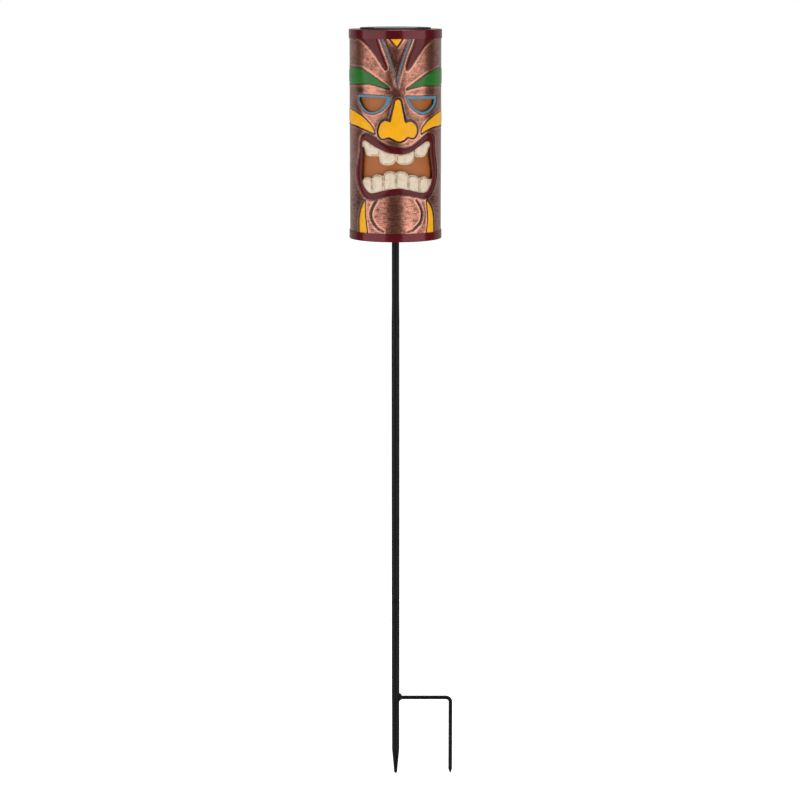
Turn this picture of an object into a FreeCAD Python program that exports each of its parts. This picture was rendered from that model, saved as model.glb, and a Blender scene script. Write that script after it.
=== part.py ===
import FreeCAD, Part
import math
import os

from FreeCAD import Vector

# Solar garden torch: a sheet metal face lantern on a two-section steel stake.
# Millimetres, +Z up, the face looks along -Y. The origin is on the stake's axis at the soil line.

# ---- driving dimensions: stake ----
STAKE_R = 4.75            # 9.5 mm steel tube
STAKE_WALL = 0.8
DRIVEN_R = 4.6            # the end that goes into the soil is swaged a little thinner
SPIKE_TIP_Z = -93.0
SPIKE_BASE_Z = -62.0
SPIKE_TIP_R = 1.85
SOIL_STEP_Z = -1.0        # where the thinner driven end meets the full tube
JOINT_Z = 128.0           # seam between the two stake sections
PLUG_LENGTH = 40.0
RUN_CLEARANCE = 0.05      # radial, for plug in tube and spigot in ferrule
SWAGE_LOW_Z = 472.6
SWAGE_HIGH_Z = 502.6
NECK_R = 4.43             # tube above the swage
SPIGOT_R = 3.95
SPIGOT_LENGTH = 41.4

# ---- driving dimensions: step leg ----
WIRE_R = 2.35
CROSSBAR_Z = 4.2
LEG_X = 67.6
LEG_BEND_R = 5.7
LEG_TIP_Z = -92.4
LEG_POINT_LENGTH = 4.9
LEG_POINT_R = 0.7
WELD_REACH = 3.2
WELD_R = 4.3

# ---- driving dimensions: lantern ----
HEAD_BASE_Z = 573.6       # underside of the bottom pan
HEAD_HEIGHT = 246.0
HEAD_TOP_Z = HEAD_BASE_Z + HEAD_HEIGHT
SHEET = 0.6
BODY_R = 54.2
BAND_R = 54.9
TOP_BAND_HEIGHT = 10.5
PAN_HEIGHT = 10.0
SEAM_LAP = 8.0
FORMED_R = 0.85           # outside radius of the pan's and the cap ring's pressed corners
DIFFUSER_R = 50.0
DIFFUSER_WALL = 0.5
MODULE_HOLE_R = 39.4
FERRULE_R = 4.5
FERRULE_BELOW_PAN = 5.0
FLANGE_R = 12.0
RIVET_CIRCLE_R = 8.4
RIVET_R = 1.2
RIVET_HEAD_R = 2.2
DRAIN_CIRCLE_R = 34.0
DRAIN_R = 2.5

# ---- driving dimensions: solar module ----
BEZEL_R = 41.75
BEZEL_PROUD = 1.8
GASKET_THICKNESS = 0.3
MODULE_R = 39.0
MODULE_WALL = 1.6
BEZEL_SKIRT = 8.0
MODULE_DEPTH = 25.6
PANEL_SIDE = 50.0
CELL_COUNT = 4
BATTERY_R = 7.25
BATTERY_LENGTH = 50.5
BATTERY_Y = -12.1
BAY_LENGTH = 55.0
BAY_WIDTH = 15.8
LED_R = 2.5
LED_SPACING = 8.0
LIGHT_Y = 17.0
LENS_R = 9.0
SWITCH_X = -17.0
SWITCH_TRAVEL = 2.5
BOARD_LOW = 4.0           # board above the module's floor
BOARD_THICKNESS = 1.4
LEAD_R = 0.5
BOSS_CIRCLE_R = 33.0
BOSS_ANGLES = (30.0, 150.0, 270.0)
SCREW_R = 0.95
SCREW_HEAD_R = 2.1

TOP = HEAD_TOP_Z                       # every module height is counted from the head's top
FLOOR_Z = TOP - MODULE_DEPTH           # underside of the module
DOOR_TOP_Z = FLOOR_Z + MODULE_WALL
BATTERY_Z = DOOR_TOP_Z + 0.4 + BATTERY_R
BOARD_TOP_Z = DOOR_TOP_Z + BOARD_LOW + BOARD_THICKNESS
TAIL_Y = BATTERY_Y + 3.25
TAIL_Z = BATTERY_Z + 1.2
HINGE_X = -29.6
HINGE_Z = FLOOR_Z - 1.4
HINGE_BARREL_R = 1.3
HINGE_PIN_R = 0.6
HINGE_HOLE_R = HINGE_PIN_R + RUN_CLEARANCE
Z_AXIS = Vector(0, 0, 1)
X_AXIS = Vector(1, 0, 0)
Y_AXIS = Vector(0, 1, 0)


def export(name, shape):
    """Writes one sub-part as a STEP file."""
    if not shape.isValid():
        raise ValueError(name + " is not a valid solid")
    shape.exportStep("parts/" + name + ".step")
    print("%-18s %10.1f mm3  %d solid(s)" % (name, shape.Volume, len(shape.Solids)))


def rod(radius, low, high, x=0.0, y=0.0):
    """An upright cylinder between two heights."""
    return Part.makeCylinder(radius, high - low, Vector(x, y, low), Z_AXIS)


def ring(outer, inner, low, high, x=0.0, y=0.0):
    """An upright tube between two heights."""
    return rod(outer, low, high, x, y).cut(rod(inner, low - 1, high + 1, x, y))


def block(x0, x1, y0, y1, z0, z1):
    """A box from its limits along each axis."""
    return Part.makeBox(x1 - x0, y1 - y0, z1 - z0, Vector(x0, y0, z0))


def turned(profile):
    """A solid of revolution about Z from (radius, height) points."""
    points = [Vector(r, 0, z) for r, z in profile]
    wire = Part.makePolygon(points + points[:1])
    return Part.Face(wire).revolve(Vector(0, 0, 0), Z_AXIS, 360)


def polar(radius, degrees):
    """The x and y of a point on a circle about the axis."""
    angle = math.radians(degrees)
    return radius * math.cos(angle), radius * math.sin(angle)


def group(shapes):
    """Several separate solids in one node."""
    return Part.makeCompound(shapes)


def lead(points):
    """A wire along straight runs joined by tangent arcs."""
    edges = []
    last = points[0]
    for before, corner, after in zip(points, points[1:], points[2:]):
        back = (before - corner).normalize()
        ahead = (after - corner).normalize()
        half_turn = (math.pi - back.getAngle(ahead)) / 2
        shorter = min((before - corner).Length, (after - corner).Length)
        radius = 0.45 * shorter / math.tan(half_turn)
        trim = radius * math.tan(half_turn)
        bisector = (back + ahead).normalize()
        centre = corner + bisector * (radius / math.cos(half_turn))
        start = corner + back * trim
        middle = centre - bisector * radius
        end = corner + ahead * trim
        edges.append(Part.LineSegment(last, start).toShape())
        edges.append(Part.Arc(start, middle, end).toShape())
        last = end
    edges.append(Part.LineSegment(last, points[-1]).toShape())
    section = Part.Wire(Part.makeCircle(LEAD_R, points[0], points[1] - points[0]))
    return Part.Wire(edges).makePipeShell([section], True, True)


# ---------------------------------------------------------------- stake

def stake_lower():
    """Lower stake tube: pointed driven end below, swaged plug above."""
    plug_r = STAKE_R - STAKE_WALL - RUN_CLEARANCE
    bore_r = STAKE_R - STAKE_WALL
    plug_top = JOINT_Z + PLUG_LENGTH
    profile = [
        (0, SPIKE_TIP_Z),
        (SPIKE_TIP_R * 0.6, SPIKE_TIP_Z + 0.3),
        (SPIKE_TIP_R, SPIKE_TIP_Z + 1.4),
        (DRIVEN_R, SPIKE_BASE_Z),
        (DRIVEN_R, SOIL_STEP_Z - 0.8),
        (STAKE_R, SOIL_STEP_Z),
        (STAKE_R, JOINT_Z - 0.6),
        (STAKE_R - 0.5, JOINT_Z - 0.1),
        (plug_r, JOINT_Z - 0.1),
        (plug_r, plug_top - 1.0),
        (plug_r - 0.5, plug_top),
        (plug_r - STAKE_WALL, plug_top),
        (plug_r - STAKE_WALL, JOINT_Z),
        (bore_r, JOINT_Z - 4.0),
        (bore_r, SPIKE_BASE_Z + 6.0),
        (0, SPIKE_BASE_Z + 2.0),
    ]
    return turned(profile)


def stake_upper():
    """Upper stake tube: swaged neck and a spigot that enters the lantern."""
    bore_r = STAKE_R - STAKE_WALL
    neck_bore_r = NECK_R - STAKE_WALL
    shoulder = HEAD_BASE_Z - FERRULE_BELOW_PAN - 0.1
    spigot_top = shoulder + SPIGOT_LENGTH
    profile = [
        (bore_r, JOINT_Z),
        (STAKE_R - 0.5, JOINT_Z),
        (STAKE_R, JOINT_Z + 0.5),
        (STAKE_R, SWAGE_LOW_Z),
        (NECK_R, SWAGE_HIGH_Z),
        (NECK_R, shoulder),
        (SPIGOT_R, shoulder),
        (SPIGOT_R, spigot_top - 1.0),
        (SPIGOT_R - 0.6, spigot_top),
        (SPIGOT_R - STAKE_WALL, spigot_top),
        (SPIGOT_R - STAKE_WALL, shoulder),
        (neck_bore_r, shoulder - 2.0),
        (neck_bore_r, SWAGE_HIGH_Z),
        (bore_r, SWAGE_LOW_Z),
    ]
    return turned(profile)


def step_leg():
    """Bent wire: crossbar to step on and a second prong that stops the stake turning."""
    bend_x = LEG_X - LEG_BEND_R
    bend_z = CROSSBAR_Z - LEG_BEND_R
    point_z = LEG_TIP_Z + LEG_POINT_LENGTH
    corner = LEG_BEND_R * math.sin(math.radians(45))
    middle = Vector(bend_x + corner, 0, bend_z + corner)
    start = Vector(0, 0, CROSSBAR_Z)
    bend_start = Vector(bend_x, 0, CROSSBAR_Z)
    bend_end = Vector(LEG_X, 0, bend_z)
    run = Part.LineSegment(start, bend_start).toShape()
    bend = Part.Arc(bend_start, middle, bend_end).toShape()
    drop = Part.LineSegment(bend_end, Vector(LEG_X, 0, point_z)).toShape()
    section = Part.Wire(Part.makeCircle(WIRE_R, start, X_AXIS))
    wire = Part.Wire([run, bend, drop]).makePipeShell([section], True, True)
    tip = Part.makeCone(LEG_POINT_R, WIRE_R, LEG_POINT_LENGTH, Vector(LEG_X, 0, LEG_TIP_Z), Z_AXIS)
    leg = wire.fuse(tip).removeSplitter()
    return leg.cut(rod(STAKE_R + 0.01, SOIL_STEP_Z, CROSSBAR_Z + 10))


def weld_bead():
    """Fillet weld round the crossbar where it meets the stake, thicker on top."""
    start = Vector(STAKE_R - 1.5, 0, CROSSBAR_Z)
    length = WELD_REACH + 1.5
    bead = Part.makeCone(WELD_R + 1.2, WIRE_R + 0.1, length, start, X_AXIS)
    crown = Part.makeSphere(2.2, Vector(STAKE_R + 0.4, 0, CROSSBAR_Z + WIRE_R + 0.6))
    bead = bead.fuse(crown)
    bead = bead.common(block(0, 20, -WELD_R, WELD_R, CROSSBAR_Z - 4.4, CROSSBAR_Z + 10))
    bead = bead.cut(rod(STAKE_R + 0.01, SOIL_STEP_Z - 5, CROSSBAR_Z + 15))
    wire = Part.makeCylinder(WIRE_R + 0.01, 30, Vector(0, 0, CROSSBAR_Z), X_AXIS)
    return bead.cut(wire)


# ---------------------------------------------------------------- lantern

def front_prism(points):
    """A closed outline of (arc length, height) points pushed through the front of the shell."""
    corners = []
    for arc, height in points:
        x = BODY_R * math.sin(arc / BODY_R)
        corners.append(Vector(x, -BODY_R - 5, HEAD_BASE_Z + height))
    face = Part.Face(Part.makePolygon(corners + corners[:1]))
    return face.extrude(Vector(0, BODY_R * 0.95, 0))


def half_moon(left, right, top, bottom, steps=14):
    """Eye outline: straight lid above and a half ellipse below, as arc length and height."""
    centre = (left + right) / 2
    reach = (right - left) / 2
    points = [(left, top), (right, top)]
    for i in range(1, steps):
        angle = math.pi * i / steps
        points.append((centre + reach * math.cos(angle), top - (top - bottom) * math.sin(angle)))
    return points


def tooth(left, right, gum, edge, corner=2.2):
    """Tooth outline with rounded corners at its biting edge."""
    way = 1 if gum > edge else -1
    points = [(left, gum)]
    for i in range(5):
        angle = math.pi / 2 * i / 4
        points.append((left + corner * (1 - math.cos(angle)), edge + way * corner * (1 - math.sin(angle))))
    for i in range(5):
        angle = math.pi / 2 * (1 - i / 4)
        points.append((right - corner * (1 - math.cos(angle)), edge + way * corner * (1 - math.sin(angle))))
    points.append((right, gum))
    return points


# Each opening in arc length from the shell's front line and height above the pan.
LEFT_EYE = (-48.5, -10.8, 168.0, 151.8)
RIGHT_EYE = (15.6, 54.6, 166.4, 151.8)
MOUTH = [(-44.5, 100.5), (46.5, 99.5), (50.0, 84.0), (49.5, 72.0), (-43.8, 75.5), (-45.5, 88.0)]
UPPER_TEETH = [(-47.0, -19.6, 100.0), (-19.4, 0.4, 90.2), (1.0, 22.8, 90.2), (23.2, 49.0, 98.8)]
LOWER_TEETH = [
    (-47.0, -28.6, 76.2), (-28.3, -13.9, 79.4), (-13.6, 0.7, 83.0), (1.0, 15.3, 83.0),
    (15.6, 29.4, 78.7), (29.7, 42.4, 76.2), (42.7, 52.0, 73.0),
]


def mouth_cutter():
    """The open space between the two rows of teeth."""
    cutter = front_prism(MOUTH)
    for left, right, edge in UPPER_TEETH:
        cutter = cutter.cut(front_prism(tooth(left, right, 112.0, edge)))
    for left, right, edge in LOWER_TEETH:
        cutter = cutter.cut(front_prism(tooth(left, right, 60.0, edge)))
    return max(cutter.Solids, key=lambda solid: solid.Volume)


def face_shell():
    """Rolled face sheet with eye and mouth openings, lapped inside at the back."""
    low = HEAD_BASE_Z + SHEET + 0.1
    high = HEAD_TOP_Z - SHEET - 0.1
    shell = ring(BODY_R, BODY_R - SHEET, low, high)
    lap = ring(BODY_R - SHEET + 0.05, BODY_R - 2 * SHEET, low, high)
    lap = lap.common(block(-SEAM_LAP / 2, SEAM_LAP / 2, 0, BODY_R + 1, low - 1, high + 1))
    shell = shell.fuse(lap)
    for eye in (LEFT_EYE, RIGHT_EYE):
        shell = shell.cut(front_prism(half_moon(*eye)))
    return shell.cut(mouth_cutter())


def round_edges(shape, height, radius, size):
    """Rounds the circular edges of one radius at one height."""
    edges = []
    for edge in shape.Edges:
        curve = edge.Curve
        round_one = isinstance(curve, Part.Circle) and abs(curve.Radius - radius) < 0.01
        if round_one and abs(edge.BoundBox.ZMin - height) < 0.01:
            edges.append(edge)
    return shape.makeFillet(size, edges)


def top_band():
    """Enamelled cap ring: skirt over the shell and a flat flange that carries the module."""
    skirt = ring(BAND_R, BAND_R - SHEET, TOP - TOP_BAND_HEIGHT, TOP - SHEET / 2)
    flange = ring(BAND_R, MODULE_HOLE_R, TOP - SHEET, TOP)
    hem = ring(MODULE_HOLE_R + SHEET, MODULE_HOLE_R, TOP - 3.0, TOP - SHEET / 2)
    band = skirt.fuse([flange, hem]).removeSplitter()
    return round_edges(band, TOP, BAND_R, FORMED_R)


def bottom_pan():
    """Enamelled pan: floor with drain holes, rounded corner and a skirt over the shell."""
    low = HEAD_BASE_Z
    skirt = ring(BAND_R, BAND_R - SHEET, low + SHEET / 2, low + PAN_HEIGHT)
    floor = rod(BAND_R, low, low + SHEET).cut(rod(FERRULE_R + 0.1, low - 1, low + 2))
    pan = skirt.fuse(floor).removeSplitter()
    pan = round_edges(pan, low, BAND_R, FORMED_R)
    for i in range(4):
        x, y = polar(DRAIN_CIRCLE_R, 45 + 90 * i)
        pan = pan.cut(rod(DRAIN_R, low - 1, low + 2, x, y))
    for i in range(3):
        x, y = polar(RIVET_CIRCLE_R, 90 + 120 * i)
        pan = pan.cut(rod(RIVET_R + 0.05, low - 1, low + 2, x, y))
    return pan


def diffuser():
    """Amber translucent sleeve that stands behind the openings."""
    low = HEAD_BASE_Z + SHEET + 0.1
    high = HEAD_TOP_Z - SHEET - 0.1
    return ring(DIFFUSER_R, DIFFUSER_R - DIFFUSER_WALL, low, high)


def socket_ferrule():
    """Drawn steel socket, closed above, with a flange on the pan's floor."""
    inner = SPIGOT_R + RUN_CLEARANCE
    low = HEAD_BASE_Z - FERRULE_BELOW_PAN
    top = low + SPIGOT_LENGTH + 2.0
    seat = HEAD_BASE_Z + SHEET
    profile = [
        (inner, low),
        (FERRULE_R, low),
        (FERRULE_R, seat),
        (FLANGE_R - 0.4, seat),
        (FLANGE_R, seat + 0.4),
        (FLANGE_R, seat + 0.8),
        (FERRULE_R + 0.8, seat + 0.8),
        (FERRULE_R, seat + 1.6),
        (FERRULE_R, top),
        (FERRULE_R - 0.8, top + 0.8),
        (0, top + 0.8),
        (0, top),
        (inner, top),
    ]
    ferrule = turned(profile)
    for i in range(3):
        x, y = polar(RIVET_CIRCLE_R, 90 + 120 * i)
        ferrule = ferrule.cut(rod(RIVET_R + 0.05, seat - 1, seat + 2, x, y))
    return ferrule


def socket_rivets():
    """Three rivets that clamp the socket's flange to the pan."""
    rivets = []
    low = HEAD_BASE_Z
    seat = HEAD_BASE_Z + SHEET + 0.8
    for i in range(3):
        x, y = polar(RIVET_CIRCLE_R, 90 + 120 * i)
        shank = rod(RIVET_R, low - 0.3, seat + 0.3, x, y)
        head = Part.makeCone(1.5, RIVET_HEAD_R, 0.9, Vector(x, y, low - 0.9), Z_AXIS)
        tail = Part.makeCone(RIVET_HEAD_R, 1.5, 0.9, Vector(x, y, seat), Z_AXIS)
        rivets.append(shank.fuse([head, tail]))
    return group(rivets)


# ---------------------------------------------------------------- solar module

def boss_places():
    """Where the screws of the module stand."""
    return [polar(BOSS_CIRCLE_R, angle) for angle in BOSS_ANGLES]


def module_bezel():
    """Black top housing: rim, square pocket for the panel, skirt and screw bosses."""
    high = TOP + BEZEL_PROUD
    plate_low = TOP - 1.9
    half = PANEL_SIDE / 2 + 0.2
    rim = rod(BEZEL_R, TOP + GASKET_THICKNESS, high)
    rim = round_edges(rim, high, BEZEL_R, 0.6)
    plate = rod(MODULE_R, plate_low, TOP + 1)
    skirt = ring(MODULE_R, MODULE_R - MODULE_WALL, TOP - BEZEL_SKIRT, TOP)
    bezel = rim.fuse([plate, skirt])
    for x, y in boss_places():
        bezel = bezel.fuse(rod(3.0, TOP - BEZEL_SKIRT + 1, TOP - 1, x, y))
        bezel = bezel.cut(rod(1.0, TOP - BEZEL_SKIRT, TOP - 3, x, y))
    bezel = bezel.cut(block(-half, half, -half, half, TOP - 0.4, TOP + 5))
    bezel = bezel.cut(rod(2.0, TOP - 3, TOP + 1, 0, 20))
    return bezel.removeSplitter()


def module_gasket():
    """Thin foam ring under the rim."""
    return ring(BEZEL_R - 0.35, MODULE_R + 0.5, TOP, TOP + GASKET_THICKNESS)


def panel_base():
    """Dark board that carries the solar cells."""
    half = PANEL_SIDE / 2
    board = block(-half, half, -half, half, TOP - 0.4, TOP + 0.6)
    return board.cut(rod(1.4, TOP - 1, TOP + 1, 0, 20))


def solar_cells():
    """Silicon strips side by side on the board."""
    pitch = (PANEL_SIDE - 3.0) / CELL_COUNT
    cells = []
    for i in range(CELL_COUNT):
        x = -(PANEL_SIDE - 3.0) / 2 + pitch * i
        cells.append(block(x + 0.3, x + pitch - 0.3, -23.5, 23.5, TOP + 0.6, TOP + 0.9))
    return group(cells)


def panel_cover():
    """Clear resin sheet over the cells."""
    half = PANEL_SIDE / 2
    return block(-half, half, -half, half, TOP + 0.9, TOP + 1.6)


def housing_seal():
    """Flat rubber ring between the two halves of the module."""
    return ring(MODULE_R - 0.3, MODULE_R - MODULE_WALL + 0.3, TOP - BEZEL_SKIRT - 0.6, TOP - BEZEL_SKIRT)


def battery_bay(wall=1.2):
    """Walls and roof of the battery bay, open at the bottom, with the ledge its door closes on."""
    half = BAY_LENGTH / 2
    y0 = BATTERY_Y - BAY_WIDTH / 2
    y1 = BATTERY_Y + BAY_WIDTH / 2
    roof = BATTERY_Z + BATTERY_R + 0.5
    ledge = block(-half - 3, half + 3, BATTERY_Y - 11, BATTERY_Y + 11, DOOR_TOP_Z, DOOR_TOP_Z + wall)
    outside = block(-half - wall, half + wall, y0 - wall, y1 + wall, DOOR_TOP_Z, roof + wall)
    inside = block(-half, half, y0, y1, DOOR_TOP_Z - 1, roof)
    bay = outside.fuse(ledge).cut(inside)
    tail_slots = block(-half - 2, half + 2, TAIL_Y - 1.35, TAIL_Y + 1.35, TAIL_Z - 0.3, TAIL_Z + 0.3)
    bay = bay.cut(tail_slots)
    return bay.common(rod(MODULE_R - 0.5, DOOR_TOP_Z, TOP))


def module_housing():
    """Lower cup of the module: battery bay, light holes, switch slot, screw posts and hinge ears."""
    rim_z = TOP - BEZEL_SKIRT - 0.6
    cup = rod(MODULE_R, FLOOR_Z, rim_z)
    cup = round_edges(cup, FLOOR_Z, MODULE_R, 1.5)
    cup = cup.cut(rod(MODULE_R - MODULE_WALL, DOOR_TOP_Z, rim_z + 1))
    lip_outer = MODULE_R - MODULE_WALL - 0.1
    lip_root = ring(MODULE_R - MODULE_WALL + 0.2, lip_outer - 1.2, rim_z - 3, rim_z)
    lip = ring(lip_outer, lip_outer - 1.2, rim_z - 1, rim_z + 2.4)
    cup = cup.fuse([lip_root, lip, battery_bay()])
    half = BAY_LENGTH / 2
    door_gap = block(HINGE_X + 0.6, half + 1.7, BATTERY_Y - 9.7, BATTERY_Y + 9.7, FLOOR_Z - 1, DOOR_TOP_Z)
    cup = cup.cut(door_gap)
    for x, y in boss_places():
        cup = cup.fuse(rod(2.6, DOOR_TOP_Z - 0.2, TOP - BEZEL_SKIRT + 0.9, x, y))
        cup = cup.cut(rod(1.3, FLOOR_Z - 1, TOP, x, y))
        cup = cup.cut(rod(SCREW_HEAD_R + 0.2, FLOOR_Z - 1, FLOOR_Z + 1.5, x, y))
    for side in (-1, 1):
        cup = cup.cut(rod(LED_R + 0.2, FLOOR_Z - 1, DOOR_TOP_Z + 1, side * LED_SPACING / 2, LIGHT_Y))
    slot = block(SWITCH_X - 2.7, SWITCH_X + 2.7, LIGHT_Y - 1.4, LIGHT_Y + 1.4, FLOOR_Z - 1, DOOR_TOP_Z + 1)
    cup = cup.cut(slot)
    for y in (BATTERY_Y - 7.6, BATTERY_Y + 4.6):
        ear = block(HINGE_X - 1.2, HINGE_X + 0.55, y, y + 3.0, HINGE_Z, FLOOR_Z + 0.5)
        barrel = Part.makeCylinder(HINGE_BARREL_R, 3.0, Vector(HINGE_X, y, HINGE_Z), Y_AXIS)
        cup = cup.fuse([ear.cut(door_gap), barrel])
    pin_hole = Part.makeCylinder(HINGE_HOLE_R, 18, Vector(HINGE_X, BATTERY_Y - 9, HINGE_Z), Y_AXIS)
    return cup.cut(pin_hole).removeSplitter()


def battery_door():
    """Door under the battery with a hinge barrel at one end and a finger lip at the other."""
    half = BAY_LENGTH / 2
    left = HINGE_X + 0.8
    right = half + 1.3
    plate = block(left, right, BATTERY_Y - 9.4, BATTERY_Y + 9.4, FLOOR_Z, DOOR_TOP_Z - 0.05)
    barrel = Part.makeCylinder(HINGE_BARREL_R, 8.6, Vector(HINGE_X, BATTERY_Y - 4.3, HINGE_Z), Y_AXIS)
    arm = block(left, left + 2.0, BATTERY_Y - 4.3, BATTERY_Y + 4.3, HINGE_Z - 0.4, FLOOR_Z + 0.1)
    lip = block(right - 2.4, right, BATTERY_Y - 5, BATTERY_Y + 5, FLOOR_Z - 1.2, FLOOR_Z + 0.1)
    door = plate.fuse([barrel, arm, lip])
    for i in range(5):
        x = right - 8.0 - 2.0 * i
        door = door.cut(block(x, x + 0.8, BATTERY_Y - 6, BATTERY_Y + 6, FLOOR_Z - 1, FLOOR_Z + 0.4))
    hole = Part.makeCylinder(HINGE_HOLE_R, 18, Vector(HINGE_X, BATTERY_Y - 9, HINGE_Z), Y_AXIS)
    return door.cut(hole).removeSplitter()


def door_pin():
    """Steel pin of the battery door's hinge."""
    return Part.makeCylinder(HINGE_PIN_R, 15.2, Vector(HINGE_X, BATTERY_Y - 7.6, HINGE_Z), Y_AXIS)


def battery():
    """Rechargeable cell lying along X with its nub towards +X."""
    nub = 1.0
    can_start = BAY_LENGTH / 2 - 0.5 - BATTERY_LENGTH
    can = Part.makeCylinder(
        BATTERY_R, BATTERY_LENGTH - nub, Vector(can_start, BATTERY_Y, BATTERY_Z), X_AXIS
    )
    can = can.makeFillet(0.6, [edge for edge in can.Edges if isinstance(edge.Curve, Part.Circle)])
    nub_start = can_start + BATTERY_LENGTH - nub - 0.1
    tip = Part.makeCylinder(2.75, nub + 0.1, Vector(nub_start, BATTERY_Y, BATTERY_Z), X_AXIS)
    return can.fuse(tip)


def battery_spring():
    """Conical coil spring behind the cell's flat end."""
    start = -BAY_LENGTH / 2 + 0.8
    reach = BAY_LENGTH / 2 - 0.5 - BATTERY_LENGTH - start - 0.35
    helix = Part.makeHelix(reach / 3, reach, 3.6, -12)
    section = Part.Wire(Part.makeCircle(0.3, Vector(3.6, 0, 0), Y_AXIS))
    coil = Part.Wire(helix).makePipeShell([section], True, True)
    coil.rotate(Vector(0, 0, 0), Y_AXIS, 90)
    coil.translate(Vector(start, BATTERY_Y, BATTERY_Z))
    return coil


def contact_plates():
    """Nickel-plated contact plates at both ends of the bay, with solder tails outside it."""
    half = BAY_LENGTH / 2
    y0 = BATTERY_Y - 5
    y1 = BATTERY_Y + 5
    plates = []
    for side in (-1, 1):
        inner, outer = sorted((side * (half - 0.45), side * (half - 0.05)))
        plate = block(inner, outer, y0, y1, BATTERY_Z - 5, BATTERY_Z + 5)
        inner, outer = sorted((side * (half - 0.1), side * (half + 2.9)))
        tail = block(inner, outer, TAIL_Y - 1.25, TAIL_Y + 1.25, TAIL_Z - 0.2, TAIL_Z + 0.2)
        plates.append(plate.fuse(tail))
    return group(plates)


def circuit_board():
    """Charging and flicker board on two posts above the floor."""
    board = block(-22, 22, 6.5, 28, DOOR_TOP_Z + BOARD_LOW, BOARD_TOP_Z)
    for side in (-1, 1):
        board = board.cut(rod(0.8, DOOR_TOP_Z + 3, DOOR_TOP_Z + 7, side * 18.5, 24.5))
    return board


def board_parts():
    """Controller, coil and capacitor soldered on the board."""
    low = BOARD_TOP_Z
    chip = block(-5, 1, 10, 14, low, low + 1.6)
    coil = rod(3.0, low, low + 3.2, 10, 12)
    can = rod(2.5, low, low + 7.0, -15, 12)
    can = can.makeFillet(0.5, [edge for edge in can.Edges if edge.BoundBox.ZMin > low + 6.9])
    return group([chip, coil, can])


def battery_leads():
    """Two leads from the contact tails, over the bay, to the board."""
    leads = []
    for side in (-1, 1):
        x = side * (BAY_LENGTH / 2 + 2.3)
        low = TAIL_Z + 0.2
        leads.append(lead([
            Vector(x, TAIL_Y, low),
            Vector(x, TAIL_Y, low + 10.0),
            Vector(side * 20.5, 9.5, low + 8.0),
            Vector(side * 20.5, 9.5, BOARD_TOP_Z),
        ]))
    return group(leads)


def panel_leads():
    """Two leads from the panel down to the board."""
    leads = []
    for side in (-1, 1):
        leads.append(lead([
            Vector(side * 0.7, 20, TOP + 0.5),
            Vector(side * 0.7, 20, TOP - 5.0),
            Vector(side * 4.0, 22, TOP - 12.0),
            Vector(side * 4.0, 22, BOARD_TOP_Z),
        ]))
    return group(leads)


def flicker_leds():
    """Amber light-emitting diodes that shine down into the lantern."""
    leds = []
    for side in (-1, 1):
        x = side * LED_SPACING / 2
        flange = rod(LED_R + 0.4, DOOR_TOP_Z + 2.9, DOOR_TOP_Z + 3.95, x, LIGHT_Y)
        stem = rod(LED_R, FLOOR_Z - 1.5, DOOR_TOP_Z + 3.5, x, LIGHT_Y)
        dome = Part.makeSphere(LED_R, Vector(x, LIGHT_Y, FLOOR_Z - 1.5))
        leds.append(stem.fuse([flange, dome]).removeSplitter())
    return group(leds)


def light_lens():
    """Frosted dome over the diodes."""
    centre = Vector(0, LIGHT_Y, FLOOR_Z)
    dome = Part.makeSphere(LENS_R, centre).cut(Part.makeSphere(LENS_R - 1.0, centre))
    below = block(-20, 20, LIGHT_Y - 20, LIGHT_Y + 20, FLOOR_Z - 20, FLOOR_Z)
    rim = ring(LENS_R + 1.2, LENS_R - 1.0, FLOOR_Z - 1.0, FLOOR_Z, 0, LIGHT_Y)
    return dome.common(below).fuse(rim).removeSplitter()


def switch_body():
    """Slide switch under the board."""
    low = DOOR_TOP_Z + 0.05
    body = block(SWITCH_X - 4.3, SWITCH_X + 4.3, LIGHT_Y - 1.9, LIGHT_Y + 1.9, low, DOOR_TOP_Z + 3.95)
    bay = block(SWITCH_X - 2.7, SWITCH_X + 2.7, LIGHT_Y - 1.4, LIGHT_Y + 1.4, low - 1, low + 2.0)
    return body.cut(bay)


def switch_slider():
    """Thumb piece of the slide switch, at its off end."""
    middle = SWITCH_X - SWITCH_TRAVEL / 2
    half = 1.1
    y0 = LIGHT_Y - half
    y1 = LIGHT_Y + half
    stem = block(middle - half, middle + half, y0, y1, FLOOR_Z - 0.4, DOOR_TOP_Z + 1.7)
    pad = block(middle - half, middle + half, y0, y1, FLOOR_Z - 1.3, FLOOR_Z - 0.3)
    for i in (-1, 0, 1):
        x = middle + 0.7 * i
        pad = pad.cut(block(x - 0.12, x + 0.12, y0 - 1, y1 + 1, FLOOR_Z - 2, FLOOR_Z - 1.0))
    return stem.fuse(pad)


def housing_screws():
    """Three screws that hold the module's halves together."""
    screws = []
    for x, y in boss_places():
        shank = rod(SCREW_R, FLOOR_Z + 0.8, TOP - 3.4, x, y)
        head = rod(SCREW_HEAD_R, FLOOR_Z + 0.05, FLOOR_Z + 1.45, x, y)
        cross = block(x - 1.3, x + 1.3, y - 0.25, y + 0.25, FLOOR_Z, FLOOR_Z + 0.6)
        cross = cross.fuse(block(x - 0.25, x + 0.25, y - 1.3, y + 1.3, FLOOR_Z, FLOOR_Z + 0.6))
        screws.append(head.cut(cross).fuse(shank))
    return group(screws)


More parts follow.
